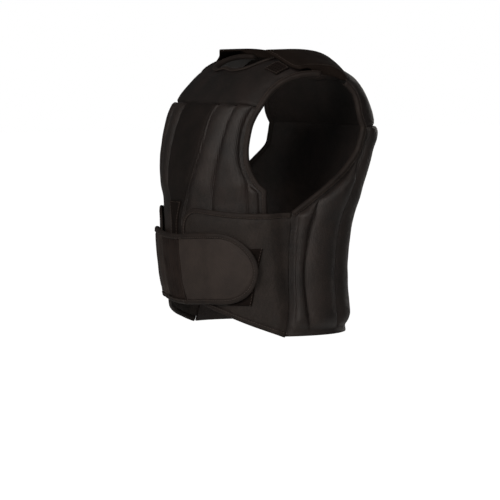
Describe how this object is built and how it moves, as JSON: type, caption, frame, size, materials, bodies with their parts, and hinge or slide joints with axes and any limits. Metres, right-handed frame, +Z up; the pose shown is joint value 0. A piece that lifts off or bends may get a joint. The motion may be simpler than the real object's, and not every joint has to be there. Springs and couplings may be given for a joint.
{
  "type": "rib protector",
  "caption": "Padded vest for chest, back and shoulders with sewn ribs, shoulder straps, side wings and a waist belt with D-shaped tabs.",
  "frame": {"origin": "midway between the shoulders, at the height where the vest sits on top of them", "axes": "+Z up, -Y towards the wearer's front, +X towards the wearer's left"},
  "size_m": [0.3188, 0.3018, 0.4196],
  "materials": {
    "quilted_cloth": "matt woven",
    "strap_cloth": "matt woven",
    "elastic": "ribbed matt",
    "loop_pile": "brushed pile",
    "binding_tape": "satin woven tape"
  },
  "bodies": {
    "root": {"armhole_binding_back_left": "binding_tape", "armhole_binding_back_right": "binding_tape", "armhole_binding_front_left": "binding_tape", "armhole_binding_front_right": "binding_tape", "back_quilt": "quilted_cloth", "back_yoke": "quilted_cloth", "belt_binding": "binding_tape", "belt_elastic": "elastic", "belt_tab_left": "strap_cloth", "belt_tab_right": "strap_cloth", "front_loop_patch": "loop_pile", "front_quilt": "quilted_cloth", "front_yoke": "quilted_cloth", "neck_binding_back": "binding_tape", "neck_binding_front": "binding_tape", "shoulder_patch_left": "loop_pile", "shoulder_patch_right": "loop_pile", "shoulder_strap_left": "strap_cloth", "shoulder_strap_right": "strap_cloth", "side_wing_left": "quilted_cloth", "side_wing_right": "quilted_cloth", "wing_binding_left": "binding_tape", "wing_binding_right": "binding_tape", "wing_loop_patch_left": "loop_pile", "wing_loop_patch_right": "loop_pile"}
  },
  "joints": []
}
